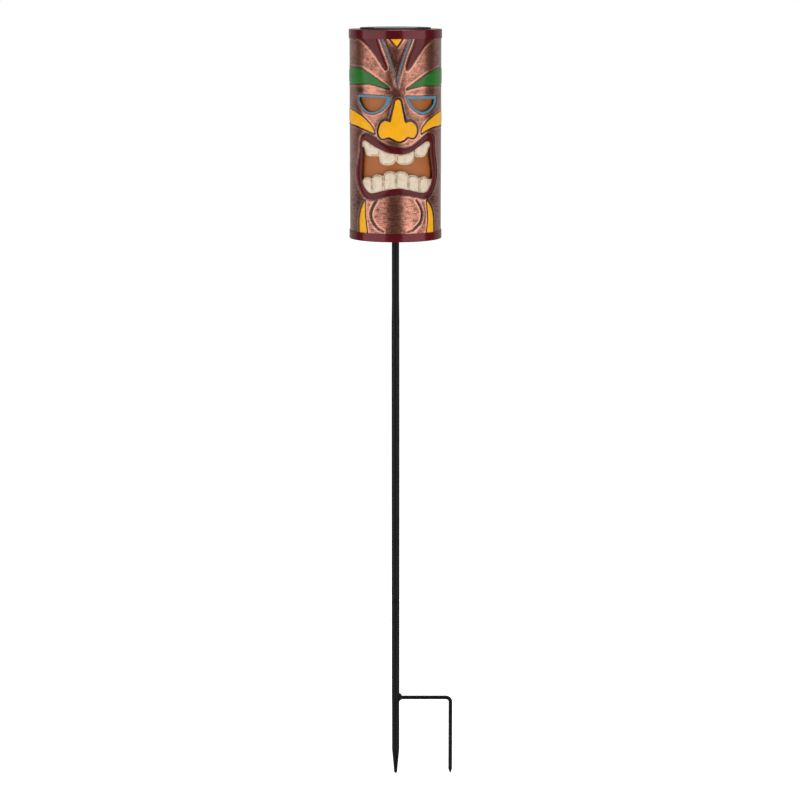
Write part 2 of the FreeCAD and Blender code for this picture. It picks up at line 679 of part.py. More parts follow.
PARTS = {
    "stake_lower": stake_lower,
    "stake_upper": stake_upper,
    "step_leg": step_leg,
    "weld_bead": weld_bead,
    "face_shell": face_shell,
    "top_band": top_band,
    "bottom_pan": bottom_pan,
    "diffuser": diffuser,
    "socket_ferrule": socket_ferrule,
    "socket_rivets": socket_rivets,
    "module_bezel": module_bezel,
    "module_gasket": module_gasket,
    "panel_base": panel_base,
    "solar_cells": solar_cells,
    "panel_cover": panel_cover,
    "housing_seal": housing_seal,
    "module_housing": module_housing,
    "battery_door": battery_door,
    "door_pin": door_pin,
    "battery": battery,
    "battery_spring": battery_spring,
    "contact_plates": contact_plates,
    "circuit_board": circuit_board,
    "board_parts": board_parts,
    "battery_leads": battery_leads,
    "panel_leads": panel_leads,
    "flicker_leds": flicker_leds,
    "light_lens": light_lens,
    "switch_body": switch_body,
    "switch_slider": switch_slider,
    "housing_screws": housing_screws,
}

os.makedirs("parts", exist_ok=True)
for part_name, make in PARTS.items():
    export(part_name, make())
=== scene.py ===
"""Solar tiki torch: builds the torch's shells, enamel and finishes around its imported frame."""

import math

import bpy
import numpy as np
from bpy.props import FloatProperty, FloatVectorProperty, PointerProperty
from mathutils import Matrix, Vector


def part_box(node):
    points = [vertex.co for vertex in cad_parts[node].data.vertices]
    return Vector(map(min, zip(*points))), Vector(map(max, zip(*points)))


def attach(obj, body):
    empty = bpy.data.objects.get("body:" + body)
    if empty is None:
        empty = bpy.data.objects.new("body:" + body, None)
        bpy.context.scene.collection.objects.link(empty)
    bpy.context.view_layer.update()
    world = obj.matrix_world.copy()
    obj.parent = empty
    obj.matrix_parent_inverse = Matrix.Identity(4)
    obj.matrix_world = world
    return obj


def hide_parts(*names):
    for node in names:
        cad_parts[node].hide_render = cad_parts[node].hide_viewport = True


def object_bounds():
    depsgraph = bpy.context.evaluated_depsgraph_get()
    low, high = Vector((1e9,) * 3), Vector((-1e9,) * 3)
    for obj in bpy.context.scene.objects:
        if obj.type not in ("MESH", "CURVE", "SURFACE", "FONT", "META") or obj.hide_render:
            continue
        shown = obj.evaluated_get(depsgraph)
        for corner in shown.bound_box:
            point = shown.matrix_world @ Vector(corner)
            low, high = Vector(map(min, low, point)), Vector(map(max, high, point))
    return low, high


bl_info = {
    "name": "Tiki Torch",
    "version": (1, 0, 0),
    "blender": (4, 5, 0),
    "location": "View3D > Sidebar > Tiki Torch",
    "description": "Builds a solar tiki torch around its packed frame",
    "category": "Add Mesh",
}

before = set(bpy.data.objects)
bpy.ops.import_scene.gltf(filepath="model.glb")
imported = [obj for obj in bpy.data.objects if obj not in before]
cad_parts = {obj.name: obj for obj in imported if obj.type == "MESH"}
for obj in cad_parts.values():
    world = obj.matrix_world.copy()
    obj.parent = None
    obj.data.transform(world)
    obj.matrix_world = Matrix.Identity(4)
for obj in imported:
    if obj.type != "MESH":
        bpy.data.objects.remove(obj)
CAD_BOX = [list(corner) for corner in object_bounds()]

MM = 0.001
SHELL_LOW, SHELL_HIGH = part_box("face_shell")
PAN_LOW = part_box("bottom_pan")[0]
BAND_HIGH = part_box("top_band")[1]
BODY_R = SHELL_HIGH.y / MM                # outer radius of the plain sheet
BAND_R = BAND_HIGH.y / MM                 # nothing on the lantern stands further out
PAN_Z = PAN_LOW.z / MM                    # the face is drawn in heights above this
RELIEF_R = BODY_R - 0.15                  # radius that the relief is counted from
SHEET = 0.6                               # thickness of the sheet
HALF_TURN = math.pi * BODY_R              # arc length from the front line to the back seam


# ------------------------------------------------------------------ shader maths

class Field:
    """A shader value that Python expressions can use: each operator adds its Math node."""

    def __init__(self, finish, socket):
        self.finish = finish
        self.socket = socket

    def maths(self, operation, *values, clamp=False):
        """Adds one Math node."""
        settings = {"operation": operation, "use_clamp": clamp}
        return self.finish.add("ShaderNodeMath", settings, dict(enumerate(values)))

    def __add__(self, other):
        return self.maths("ADD", self, other)

    def __radd__(self, other):
        return self.maths("ADD", other, self)

    def __sub__(self, other):
        return self.maths("SUBTRACT", self, other)

    def __rsub__(self, other):
        return self.maths("SUBTRACT", other, self)

    def __mul__(self, other):
        return self.maths("MULTIPLY", self, other)

    def clamp(self):
        """Kept between 0 and 1."""
        return self.maths("ADD", self, 0.0, clamp=True)

    def greater(self, other):
        """The larger of the two values."""
        return self.maths("MAXIMUM", self, other)

    def step(self, low, high, start=0.0, end=1.0):
        """Smoothly from start, where the value is low, to end, where it is high."""
        settings = {"interpolation_type": "SMOOTHSTEP", "clamp": True}
        sockets = {"Value": self, "From Min": low, "From Max": high, "To Min": start, "To Max": end}
        return self.finish.add("ShaderNodeMapRange", settings, sockets)


class Finish:
    """The nodes of a material, or of the surroundings, in the making."""

    def __init__(self, owner):
        self.owner = owner
        owner.use_nodes = True
        self.tree = owner.node_tree
        self.tree.nodes.clear()

    def add(self, kind, settings=None, sockets=None, output=0):
        """Adds one node: its settings first, then the values or links of its sockets."""
        node = self.tree.nodes.new(kind)
        for key, value in (settings or {}).items():
            setattr(node, key, value)
        for key, value in (sockets or {}).items():
            if isinstance(value, Field):
                self.tree.links.new(value.socket, node.inputs[key])
            else:
                node.inputs[key].default_value = value
        return Field(self, node.outputs[output]) if node.outputs else None

    def stretched(self, where, scale):
        """A place with each of its parts scaled."""
        return self.add("ShaderNodeVectorMath", {"operation": "MULTIPLY"}, {0: where, 1: scale})

    def place(self, scale=(1.0, 1.0, 1.0)):
        """Object coordinates in millimetres, scaled."""
        here = self.add("ShaderNodeTexCoord", output="Object")
        return self.stretched(here, tuple(1000.0 * part for part in scale))

    def layer(self, name):
        """A value that the mesh carries at its points."""
        return self.add("ShaderNodeAttribute", {"attribute_name": name}, output="Fac")

    def noise(self, where, scale, detail=3.0, roughness=0.5, distortion=0.0):
        """Fractal noise, around 0.5; its scale is in cells per millimetre."""
        sockets = {
            "Vector": where, "Scale": scale, "Detail": detail,
            "Roughness": roughness, "Distortion": distortion,
        }
        return self.add("ShaderNodeTexNoise", {}, sockets, "Fac")

    def cells(self, where, scale):
        """Distance to the nearest point of a random set."""
        return self.add("ShaderNodeTexVoronoi", {}, {"Vector": where, "Scale": scale}, "Distance")

    def mix(self, amount, first, second):
        """From the first colour to the second."""
        colours = [one if isinstance(one, Field) else (*one, 1.0) for one in (first, second)]
        sockets = {0: amount, 6: colours[0], 7: colours[1]}
        return self.add("ShaderNodeMix", {"data_type": "RGBA"}, sockets, 2)

    def bump(self, height, strength, distance_mm):
        """A normal that follows a height."""
        sockets = {"Height": height, "Strength": strength, "Distance": distance_mm * MM}
        return self.add("ShaderNodeBump", {}, sockets)

    def surface(self, sockets):
        """Closes the material with one Principled shader."""
        named = {}
        for key, value in sockets.items():
            named[key] = (*value, 1.0) if isinstance(value, tuple) else value
        shader = self.add("ShaderNodeBsdfPrincipled", {}, named)
        self.add("ShaderNodeOutputMaterial", {}, {"Surface": shader})
        return self.owner


def new_finish(name):
    """A material with no nodes yet."""
    return Finish(bpy.data.materials.new(name))


def darker(tint, share):
    """A colour with a share of its brightness."""
    return tuple(part * share for part in tint)


# ------------------------------------------------------------------ finishes

COPPER = (0.53, 0.200, 0.128)
# Bright copper for rubbed places, also used for the painted highlights.
COPPER_WORN_AND_HIGHLIT = (0.86, 0.37, 0.25)
PATINA = (0.045, 0.014, 0.009)
INK = (0.007, 0.005, 0.006)
YELLOW = (0.79, 0.365, 0.009)
MAROON = (0.088, 0.0045, 0.007)
GREEN = (0.020, 0.135, 0.020)
BLUE = (0.076, 0.200, 0.285)
CREAM = (0.65, 0.55, 0.425)
# Darker tooth colour, for the teeth's brown mottling and for painted shade at their edges.
TOOTH_MOTTLE_AND_SHADE = (0.48, 0.355, 0.22)
TOOTH_STAIN = (0.17, 0.07, 0.022)
CELL_PITCH = 11.75        # width of one solar strip with its gap, as in the frame
CELL_FINGER_PITCH = 1.9
COAT_EDGE = 0.16          # millimetres over which one coat gives way to the next
INK_EDGE = 0.35           # the ink's edge is softer
AGED_BELOW = 50.0         # below this height the patina is at its strongest
CALM_ABOVE = 75.0         # above this one it is at its calmest


def face_enamel():
    """Antiqued copper sheet with inked and enamelled embossed shapes."""
    paint = new_finish("antique_copper_and_enamel")
    across = paint.layer("arc")
    up = paint.layer("rise")
    where = paint.add("ShaderNodeCombineXYZ", {}, {"X": across, "Y": up, "Z": 0.0})
    brushed = paint.stretched(where, (0.13, 1.0, 1.0))
    hollow = paint.layer("hollow")
    ridge = paint.layer("ridge")

    clouds = paint.noise(where, 0.075, 4.0, 0.6, 0.4)
    streaks = paint.noise(brushed, 0.8, 5.0, 0.7)
    drawn = up.step(CALM_ABOVE, AGED_BELOW, 0.45, 1.1)
    mottled = up.step(CALM_ABOVE, AGED_BELOW, 0.72, 1.1)
    speckle = paint.noise(where, 0.6, 5.0, 0.75)
    blotch = paint.noise(where, 0.22, 4.0, 0.65, 0.6)

    # Rubbed wear brightens the copper, and the ridge layer also brings painted highlights.
    worn_and_highlit = ridge * 1.1 + speckle.step(0.50, 0.38) * 0.40
    worn_and_highlit = (worn_and_highlit + streaks.step(0.46, 0.36) * drawn * 0.50).clamp()
    tarnish = clouds.step(0.42, 0.62) * 0.34 + speckle.step(0.49, 0.60) * mottled * 0.40
    tarnish = tarnish + streaks.step(0.52, 0.58) * drawn * 0.60
    tarnish = tarnish + blotch.step(0.48, 0.62) * mottled * 0.44
    tarnish = (tarnish * (1.0 - ridge * 0.8) + hollow).clamp()
    metal = paint.mix(worn_and_highlit, COPPER, COPPER_WORN_AND_HIGHLIT)
    colour = paint.mix(tarnish * 0.88, metal, PATINA)
    rough = 0.27 + tarnish * 0.12 + (speckle - 0.5) * 0.12

    def within(name, edge=COAT_EDGE):
        """1 inside a drawn shape and 0 outside it."""
        return paint.layer(name).step(-edge, edge, 1.0, 0.0)

    enamelled = 0.0
    matt = within("yellow")
    inked = within("ink", INK_EDGE)
    coats = []
    for name, tint in (("yellow", YELLOW), ("maroon", MAROON), ("green", GREEN), ("blue", BLUE)):
        mask = within(name)
        shade = paint.noise(where, 0.09, 2.0, 0.5).step(0.3, 0.7, 0.0, 0.45)
        coats.append((mask, paint.mix(shade, tint, darker(tint, 0.8))))
        enamelled = mask.greater(enamelled)
    teeth = paint.layer("teeth")
    tooth = within("cream")
    inked = inked * (1.0 - enamelled) * (1.0 - tooth)
    colour = paint.mix(inked * 0.94, colour, INK)
    for mask, coat in coats:
        colour = paint.mix(mask, colour, coat)
    grime = paint.noise(where, 0.13, 4.0, 0.7).step(0.46, 0.54, 0.28, 1.0)
    rims = paint.layer("cream").step(-2.4, -0.2) * 0.60
    gaps = paint.layer("gaps").step(-2.3, -0.3).greater(rims)
    stain = (gaps * grime * paint.layer("sheet").step(0.5, 1.6)).clamp()
    upright = paint.stretched(where, (1.0, 0.7, 1.0))
    grain = paint.noise(upright, 0.22, 4.0, 0.65)
    # Brown mottling from the grain, plus painted shade darkening each tooth within about 2.4 mm of
    # its edge.
    mottle_and_edge_shade = grain.step(0.42, 0.66) * 0.50 + teeth.step(-2.4, -0.3, 0.0, 0.3)
    ivory = paint.mix(mottle_and_edge_shade.clamp(), CREAM, TOOTH_MOTTLE_AND_SHADE)
    colour = paint.mix(tooth, colour, paint.mix(stain, ivory, TOOTH_STAIN))
    covered = enamelled.greater(tooth)

    scratches = (streaks * 0.6 + speckle * 0.4) * (1.0 - enamelled * 0.95)
    metallic = (1.0 - tarnish * 0.15 - inked * 0.9).clamp() * (1.0 - covered)
    rough = rough * (1.0 - covered) + enamelled * 0.22 + tooth * 0.40
    return paint.surface({
        "Base Color": colour,
        "Metallic": metallic,
        "Roughness": rough,
        "Specular IOR Level": 0.12,
        "Coat Weight": (0.72 - enamelled * 0.35 - matt.greater(tooth) * 0.3).clamp(),
        "Coat Roughness": 0.13,
        "Normal": paint.bump(scratches, 0.5, 0.25),
    })


def gloss_enamel(name, tint):
    """Baked gloss enamel with a faint orange peel."""
    paint = new_finish(name)
    where = paint.place()
    peel = paint.noise(where, 0.35, 2.0, 0.5)
    cloud = paint.noise(where, 0.03, 2.0, 0.5)
    return paint.surface({
        "Base Color": paint.mix(cloud.step(0.35, 0.65), tint, darker(tint, 0.72)),
        "Roughness": 0.14 + cloud * 0.08,
        "Specular IOR Level": 0.8,
        "Specular Tint": (1.0, 0.46, 0.50),
        "Normal": paint.bump(peel, 0.06, 0.3),
    })


def powder_coat():
    """Satin black powder coat with its fine pebble."""
    paint = new_finish("black_powder_coat")
    where = paint.place()
    pebble = paint.noise(where, 1.6, 3.0, 0.6)
    scuff = paint.noise(paint.place((1.0, 1.0, 0.06)), 0.5, 4.0, 0.6)
    dull = scuff.step(0.55, 0.75)
    return paint.surface({
        "Base Color": paint.mix(dull * 0.4, (0.0045, 0.0045, 0.0048), (0.018, 0.017, 0.016)),
        "Roughness": 0.36 + dull * 0.16 + pebble * 0.06,
        "Specular IOR Level": 0.17,
        "Normal": paint.bump(pebble, 0.12, 0.2),
    })


def amber_film():
    """Amber translucent sleeve, a little uneven in thickness."""
    paint = new_finish("amber_film")
    where = paint.place()
    thick = paint.noise(where, 0.02, 2.0, 0.5).step(0.3, 0.7)
    dust = paint.noise(where, 0.7, 4.0, 0.7).step(0.58, 0.75)
    amber = paint.mix(thick, (0.37, 0.108, 0.019), (0.30, 0.078, 0.012))
    return paint.surface({
        "Base Color": paint.mix(dust * 0.2, amber, (0.50, 0.30, 0.16)),
        "Roughness": 0.40 + dust * 0.2,
        "Specular IOR Level": 0.35,
        "Subsurface Weight": 0.15,
        "Subsurface Scale": 0.002,
        "Normal": paint.bump(dust, 0.05, 0.1),
    })


def moulded(name, tint, rough, grain=1.1, depth=0.15):
    """Moulded plastic with a spark-eroded texture."""
    paint = new_finish(name)
    where = paint.place()
    texture = paint.noise(where, grain, 3.0, 0.6)
    cloud = paint.noise(where, 0.05, 2.0, 0.5)
    pale = tuple(min(1.0, part * 1.5 + 0.006) for part in tint)
    return paint.surface({
        "Base Color": paint.mix(cloud.step(0.4, 0.7) * 0.5, tint, pale),
        "Roughness": rough + texture * 0.12,
        "Specular IOR Level": 0.3,
        "Normal": paint.bump(texture, depth, 0.2),
    })


def solar_silicon():
    """Blue-black silicon with fine silver fingers across each strip and a bus bar along it."""
    paint = new_finish("solar_silicon")
    where = paint.place()
    half_strip = CELL_PITCH / 2
    along = paint.add("ShaderNodeSeparateXYZ", {}, {"Vector": where}, "Y")
    across = paint.add("ShaderNodeSeparateXYZ", {}, {"Vector": where}, "X")
    fingers = along.maths("PINGPONG", along, CELL_FINGER_PITCH / 2).step(0.10, 0.16, 0.75, 0.0)
    bars = across.maths("PINGPONG", across, half_strip).step(half_strip - 0.5, half_strip - 0.4)
    silver = fingers.greater(bars)
    crystal = paint.cells(where, 0.22)
    blue = paint.mix(crystal.step(0.1, 0.9), (0.006, 0.013, 0.060), (0.014, 0.032, 0.125))
    return paint.surface({
        "Base Color": paint.mix(silver, blue, (0.45, 0.46, 0.47)),
        "Metallic": silver * 0.8,
        "Roughness": 0.22 + silver * 0.15,
    })


def clear_resin():
    """Cast clear resin, faintly dusty."""
    paint = new_finish("clear_resin")
    dust = paint.noise(paint.place(), 0.5, 4.0, 0.7).step(0.55, 0.75)
    return paint.surface({
        "Base Color": paint.mix(dust * 0.3, (0.93, 0.94, 0.95), (0.75, 0.74, 0.70)),
        "Roughness": 0.04 + dust * 0.12,
        "Transmission Weight": 1.0,
        "IOR": 1.5,
    })


def plated(name, tint, rough):
    """Plated or bare metal with drawing marks."""
    paint = new_finish(name)
    marks = paint.noise(paint.place((1.0, 1.0, 0.2)), 1.4, 4.0, 0.6)
    spots = paint.noise(paint.place(), 0.4, 3.0, 0.6).step(0.55, 0.75)
    return paint.surface({
        "Base Color": paint.mix(spots * 0.6, tint, darker(tint, 0.6)),
        "Metallic": 1.0,
        "Roughness": rough + marks * 0.18,
        "Normal": paint.bump(marks, 0.08, 0.1),
    })


# ------------------------------------------------------------------ outlines

def smooth_run(points, closed, steps=6):
    """Points along a Catmull-Rom curve. A point with a third value is a corner."""
    count = len(points)
    places = np.array([point[:2] for point in points], float)
    sharp = [len(point) > 2 for point in points]
    run = []
    for i in range(count if closed else count - 1):
        j = (i + 1) % count
        here, there = places[i], places[j]
        before = 2 * here - there if sharp[i] or (not closed and i == 0) else places[i - 1]
        open_end = not closed and j == count - 1
        after = 2 * there - here if sharp[j] or open_end else places[(j + 1) % count]
        for step in range(steps):
            t = step / steps
            run.append(0.5 * (
                2 * here + (there - before) * t
                + (2 * before - 5 * here + 4 * there - after) * t * t
                + (3 * here - before - 3 * there + after) * t ** 3
            ))
    if not closed:
        run.append(places[-1])
    return np.array(run)


FAR = 9.0     # distances beyond this, in millimetres, all count as this


def nearest(spots, starts, ends):
    """Distance from each spot to the nearest of some straight runs, and how far along it lies."""
    run = ends - starts
    length = np.maximum((run ** 2).sum(1), 1e-12)
    best = np.full(len(spots), np.inf)
    along = np.zeros(len(spots))
    for k in range(len(starts)):
        t = np.clip(((spots - starts[k]) @ run[k]) / length[k], 0, 1)
        gap = np.hypot(*(spots - starts[k] - t[:, None] * run[k]).T)
        closer = gap < best
        best[closer] = gap[closer]
        along[closer] = (k + t[closer]) / len(starts)
    return best, along


def signed(spots, outline):
    """Distance to a closed outline in millimetres, negative inside it."""
    starts = smooth_run(outline, True)
    ends = np.roll(starts, -1, axis=0)
    result = np.full(len(spots), FAR)
    low, high = starts.min(0) - FAR, starts.max(0) + FAR
    near = ((spots > low) & (spots < high)).all(1)
    here = spots[near]
    gap, _ = nearest(here, starts, ends)
    inside = np.zeros(len(here), bool)
    for (x0, y0), (x1, y1) in zip(starts, ends):
        crosses = (y0 > here[:, 1]) != (y1 > here[:, 1])
        if crosses.any():
            x = x0 + (here[:, 1] - y0) * (x1 - x0) / (y1 - y0 if y1 != y0 else 1e-9)
            inside ^= crosses & (here[:, 0] < x)
    result[near] = np.minimum(np.where(inside, -gap, gap), FAR)
    return result


def stroke(spots, line, widths):
    """Distance to a drawn line in millimetres, negative inside it, from half widths along it."""
    run = smooth_run(line, False)
    result = np.full(len(spots), FAR)
    near = ((spots > run.min(0) - FAR) & (spots < run.max(0) + FAR)).all(1)
    gap, along = nearest(spots[near], run[:-1], run[1:])
    half = np.interp(along, np.linspace(0, 1, len(widths)), widths)
    result[near] = np.minimum(gap - half, FAR)
    return result


# ------------------------------------------------------------------ the drawn face
# Every point is (arc length from the front line, height above the pan), in millimetres, and a third
# value marks a corner. Shapes under the cap ring run on to where it hides them.

BROWS = (
    [(-6.3, 178.4, 1), (-12.9, 183.5), (-25.1, 191.3), (-33.7, 196.4), (-41.2, 199.4),
     (-48.5, 201.2), (-75, 201.6), (-100, 197), (-112, 191, 1), (-100, 187), (-76, 183),
     (-48.6, 183.8), (-33.7, 184.2), (-24.2, 182.9), (-16.3, 181.0)],
    [(13.3, 178.0, 1), (20.2, 182.6), (27.4, 187.3), (35.2, 191.5), (44.1, 195.7), (58.3, 199.9),
     (84, 201.6), (103, 197), (116, 190, 1), (103, 185.5), (84, 181.4), (50.6, 181.7),
     (38.4, 182.1), (29.3, 181.6), (20.2, 179.7)],
)
SPIKES = (
    [(-57, 241, 1), (-46.4, 235.2), (-36.7, 229.4), (-28.7, 222.7), (-22.3, 215.6),
     (-17.1, 209.2), (-12.9, 203.4), (-10.5, 201.0), (-9.7, 203.4), (-12.3, 210.8),
     (-15.4, 218.1), (-18.8, 226.8), (-21.8, 235.6), (-23.4, 241, 1)],
    [(26.1, 241, 1), (24.6, 235.6), (21.5, 226.8), (17.6, 218.4), (14.6, 210.0), (12.9, 203.4),
     (14.0, 200.4), (19.3, 205.9), (24.6, 213.1), (31.1, 221.0), (38.3, 227.8), (49.0, 234.8),
     (59, 241, 1)],
)
TRIANGLE = [(-7.9, 240, 1), (-5.4, 235.9), (1.7, 227.0, 1), (7.9, 235.9), (10.4, 240, 1)]
CHEEKS = (
    [(-25.4, 126.6, 1), (-27.1, 131.0), (-29.9, 135.3), (-34.9, 140.0), (-41.4, 144.7),
     (-48.8, 148.0), (-59.7, 151.2), (-74, 153.0), (-92, 154), (-108, 149, 1), (-92, 141),
     (-74, 136.5), (-56.3, 135.2), (-47.5, 133.4), (-38.0, 131.0), (-31.0, 128.8)],
    [(32.6, 126.6, 1), (33.4, 131.0), (37.4, 135.9), (43.0, 140.5), (50.7, 144.2), (60.4, 147.8),
     (76, 150.5), (94, 151.5), (111, 147, 1), (95, 138.5), (78, 134.6), (60, 134.0),
     (51.4, 133.3), (43.0, 131.2), (36.5, 128.6)],
)
NOSE = [
    (3.2, 166.2), (0.2, 164.2), (-1.1, 158.5), (-3.1, 150.4), (-4.7, 142.6), (-5.8, 139.6, 1),
    (-12.1, 141.3), (-16.6, 138.6), (-19.2, 133.6), (-20.2, 127.5), (-18.5, 123.2),
    (-15.1, 121.0), (-11.3, 121.8), (-7.4, 122.7), (-2.8, 120.6), (3.7, 117.9), (9.8, 119.4),
    (14.6, 123.1), (18.6, 122.2), (22.4, 122.3), (25.4, 125.9), (26.1, 131.0), (24.4, 136.2),
    (18.5, 140.4), (12.4, 138.9, 1), (10.7, 141.0), (9.2, 148.7), (7.4, 157.7), (6.0, 164.0),
]
BARS = (
    [(-39.3, 47.6, 1), (-43.2, 42.0), (-46.5, 34.5), (-48.6, 25.3), (-48.8, 16.3), (-48.0, 5, 1),
     (-35.2, 5, 1), (-37.4, 17.2), (-38.8, 26.1), (-39.4, 35.1)],
    [(40.8, 47.6, 1), (45.8, 42.3), (49.9, 35.6), (52.1, 27.7), (52.7, 18.8), (53.2, 5, 1),
     (39.8, 5, 1), (42.2, 17.2), (43.2, 25.8), (42.7, 35.0)],
)
EYE_RINGS = (
    [(-51.9, 171.0, 1), (-36.9, 171.2), (-18.0, 170.5), (-5.1, 169.3, 1), (-6.3, 164.2),
     (-9.6, 159.3), (-14.6, 154.4), (-21.6, 150.6), (-28.9, 149.1), (-38.0, 151.0),
     (-44.9, 155.9), (-50.1, 163.0)],
    [(12.1, 170.1, 1), (38.4, 169.6), (60.3, 168.8, 1), (58.5, 161.0), (52.1, 154.8),
     (43.0, 150.3), (34.3, 148.6), (25.6, 151.7), (18.5, 157.5), (14.2, 164.1)],
)
EYE_HOLES = (
    [(-49.7, 168.2, 1), (-29, 168.3), (-10.4, 167.8, 1), (-12.0, 162.0), (-16.3, 156.5),
     (-22.4, 152.4), (-28.9, 151.2), (-36.3, 152.4), (-43.4, 157.2), (-48.3, 163.6)],
    [(15.2, 166.6, 1), (39.5, 166.3), (54.8, 165.7, 1), (52.8, 159.8), (45.7, 154.6),
     (38.5, 151.9), (32.3, 151.6), (25.4, 154.6), (19.9, 159.7), (16.7, 164.2)],
)
LIP_OUTSIDE = [
    (-44.5, 122.8), (-37.6, 125.8), (-30.5, 124.8), (-23.7, 121.0), (-16.1, 115.9), (-8.0, 111.8),
    (4.5, 109.0), (12.8, 109.4), (20.2, 111.6), (28.2, 116.6), (35.7, 121.2), (42.9, 124.6),
    (49.9, 123.6), (53.7, 119.0), (54.0, 110.4), (55.2, 101.4), (58.2, 90.4), (59.6, 79.5),
    (57.2, 70.7), (53.3, 63.2), (48.6, 56.9), (43.2, 52.5), (37.0, 51.2), (29.3, 52.6),
    (20.3, 54.6), (10.9, 56.0), (1.9, 56.5), (-7.0, 55.6), (-20.9, 51.2), (-28.2, 49.6),
    (-34.8, 50.4), (-41.5, 54.2), (-46.8, 60.0), (-51.2, 68.4), (-53.4, 77.4), (-52.3, 87.2),
    (-49.8, 96.3), (-47.6, 105.4), (-46.9, 115.3),
]
LIP_INSIDE = [
    (-42.9, 115.8), (-39.2, 118.3), (-34.6, 116.4), (-28, 112.9), (-20, 108.9), (-8.8, 104.7),
    (5.5, 102.5), (14, 103.4), (21, 106.2), (28.5, 111.0), (35, 114.9), (41.2, 117.0),
    (45.2, 114.8), (45.6, 108.9), (46.4, 100.1), (48.8, 89.2), (50.8, 79.0), (48.2, 69.5),
    (43.8, 61.8), (38.5, 57.7), (30, 57.7), (20, 60.2), (8.2, 62.6), (-2, 62.7), (-14, 60.4),
    (-24, 57.8), (-31, 57.2), (-36.5, 60.2), (-41.2, 66.5), (-44.2, 74.5), (-44.5, 83.5),
    (-43.3, 95.8), (-42.6, 106.5),
]
TEETH = (
    [(-47, 126, 1), (-18.9, 116, 1), (-19.1, 103.4), (-21.8, 100.9), (-28, 100.7), (-34.6, 100.9),
     (-38.0, 103.4), (-39.4, 108.3), (-42.5, 111.3), (-47, 112.5, 1)],
    [(-18.7, 114, 1), (0.9, 107, 1), (1.1, 98), (-0.5, 94.4), (-3.8, 91.4), (-10.6, 90.6),
     (-16.6, 92.2), (-19.1, 97.5)],
    [(1.3, 107, 1), (22.8, 111, 1), (22.9, 100.0), (21.6, 94.8), (17.4, 92.0), (10.0, 91.1),
     (4.6, 92.3), (1.8, 95.2)],
    [(24.2, 113, 1), (49, 123, 1), (46.5, 113), (43.9, 110), (40.8, 104), (38.6, 101.0),
     (34.6, 99.4), (27.5, 99.4), (24.7, 101.5)],
    [(-47, 50, 1), (-29.2, 50, 1), (-29.0, 70.6), (-30.8, 73.7), (-34.8, 74.8), (-39.4, 73.8),
     (-42.8, 70.3), (-47, 67.0, 1)],
    [(-28.7, 50, 1), (-14.4, 52, 1), (-14.6, 74.6), (-18.2, 77.8), (-23.3, 78.4), (-27.4, 76.2),
     (-28.6, 71.8)],
    [(-14.0, 52, 1), (0.7, 54, 1), (0.7, 78.3), (-3.2, 82.1), (-8.6, 82.5), (-12.8, 80.0),
     (-14.0, 75.0)],
    [(1.0, 54, 1), (15.2, 54, 1), (15.2, 75.4), (13.6, 79.8), (10.0, 82.2), (4.6, 82.4),
     (1.2, 78.8)],
    [(15.5, 54, 1), (29.4, 52, 1), (29.6, 71.4), (28.0, 75.2), (24.0, 77.6), (18.6, 77.7),
     (15.6, 75.2)],
    [(29.8, 50, 1), (43.2, 50, 1), (43.1, 70.9), (41.9, 73.6), (37.8, 75.6), (32.6, 74.6),
     (30.0, 71.8)],
    [(43.5, 50, 1), (58, 52, 1), (57, 71.2, 1), (46.0, 71.8), (43.6, 70.2)],
)
FOREHEAD_LINES = (
    [(-18.2, 241), (-16.2, 235.3), (-12.9, 227.7), (-9.6, 219.7), (-6.3, 210.9), (-3.0, 201.3),
     (-0.6, 193.2), (1.4, 181.1)],
    [(20.6, 241), (18.8, 235.3), (15.8, 227.7), (12.1, 218.9), (8.8, 209.3), (5.9, 199.6),
     (3.9, 190.8), (2.2, 181.1)],
)
FOREHEAD_WIDTHS = (0.85, 0.75, 0.6, 0.4)
WEDGE_UP = (181, 241)     # the wedge between those two lines, from its foot to the cap ring
WEDGE_LEFT = (1.4, -18.2)
WEDGE_RIGHT = (2.2, 20.6)
CHIN_LINES = (
    [(-21.9, 49.0), (-25.9, 43.9), (-29.5, 37.4), (-30.6, 31.1), (-29.0, 25.8), (-24.9, 19.7),
     (-20.0, 15.4), (-13.4, 12.5)],
    [(25.7, 49.2), (29.8, 43.7), (33.1, 37.2), (33.7, 30.0), (31.5, 22.9), (26.3, 17.8),
     (20.3, 13.6), (14, 12)],
)
CHIN_WIDTHS = (0.7, 1.15, 1.25, 1.0, 0.35)
CHIN_CENTRE = (1.9, 31.5)
CHIN_R = 31.0
TOOTH_RIM = 0.55          # plain sheet left round the teeth where the mouth is cut open
SEAM_LAP = 8.0            # width of the lap at the back
DIMPLES = np.arange(18.0, 240.0, 24.0)    # heights of the dimples that hold it
DEEPEST = -1.45           # the relief stays clear of the sleeve inside it


def bell(distance, centre, width):
    """A soft bump, 1 at its centre."""
    return np.exp(-((distance - centre) / width) ** 2)


def ease(value, low, high):
    """Smoothly from 0 at low to 1 at high."""
    t = np.clip((value - low) / (high - low), 0, 1)
    return t * t * (3 - 2 * t)


def lowest(spots, outlines):
    """Signed distance to the nearest of several outlines."""
    return np.min([signed(spots, outline) for outline in outlines], axis=0)


def openings(spots):
    """Signed distance to where the sheet is cut away."""
    eyes = lowest(spots, EYE_HOLES)
    mouth = signed(spots, LIP_INSIDE)
    teeth = lowest(spots, TEETH)
    return np.minimum(eyes, np.maximum(mouth, TOOTH_RIM - teeth))


